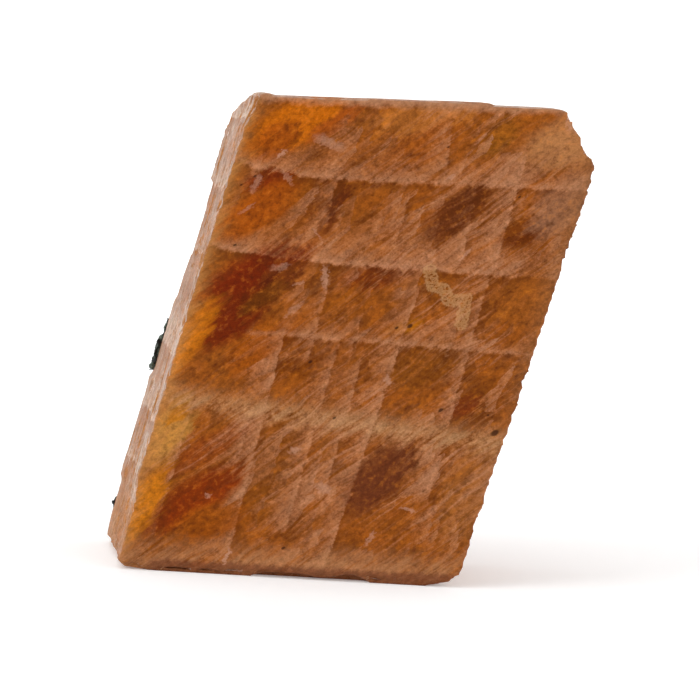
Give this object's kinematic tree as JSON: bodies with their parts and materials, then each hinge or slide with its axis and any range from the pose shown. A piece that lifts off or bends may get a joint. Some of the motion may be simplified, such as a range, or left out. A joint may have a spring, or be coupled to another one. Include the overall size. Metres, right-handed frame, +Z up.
{
  "type": "rough orange calcite",
  "caption": "Rough cleavage block of orange calcite, a slanted slab with parallel split faces, standing on its flat base.",
  "frame": {"origin": "middle of the object's box, at the level of the flat base that it stands on", "axes": "+Z up, +X along the large face to the right, -Y towards the viewer of the large face"},
  "size_m": [0.076, 0.049, 0.0726],
  "materials": {
    "calcite": "satin cleavage faces with broken edges",
    "dark_mineral": "rough"
  },
  "bodies": {
    "root": {"calcite_block": "calcite", "dark_crust": "dark_mineral", "dark_sliver": "dark_mineral"}
  },
  "joints": []
}
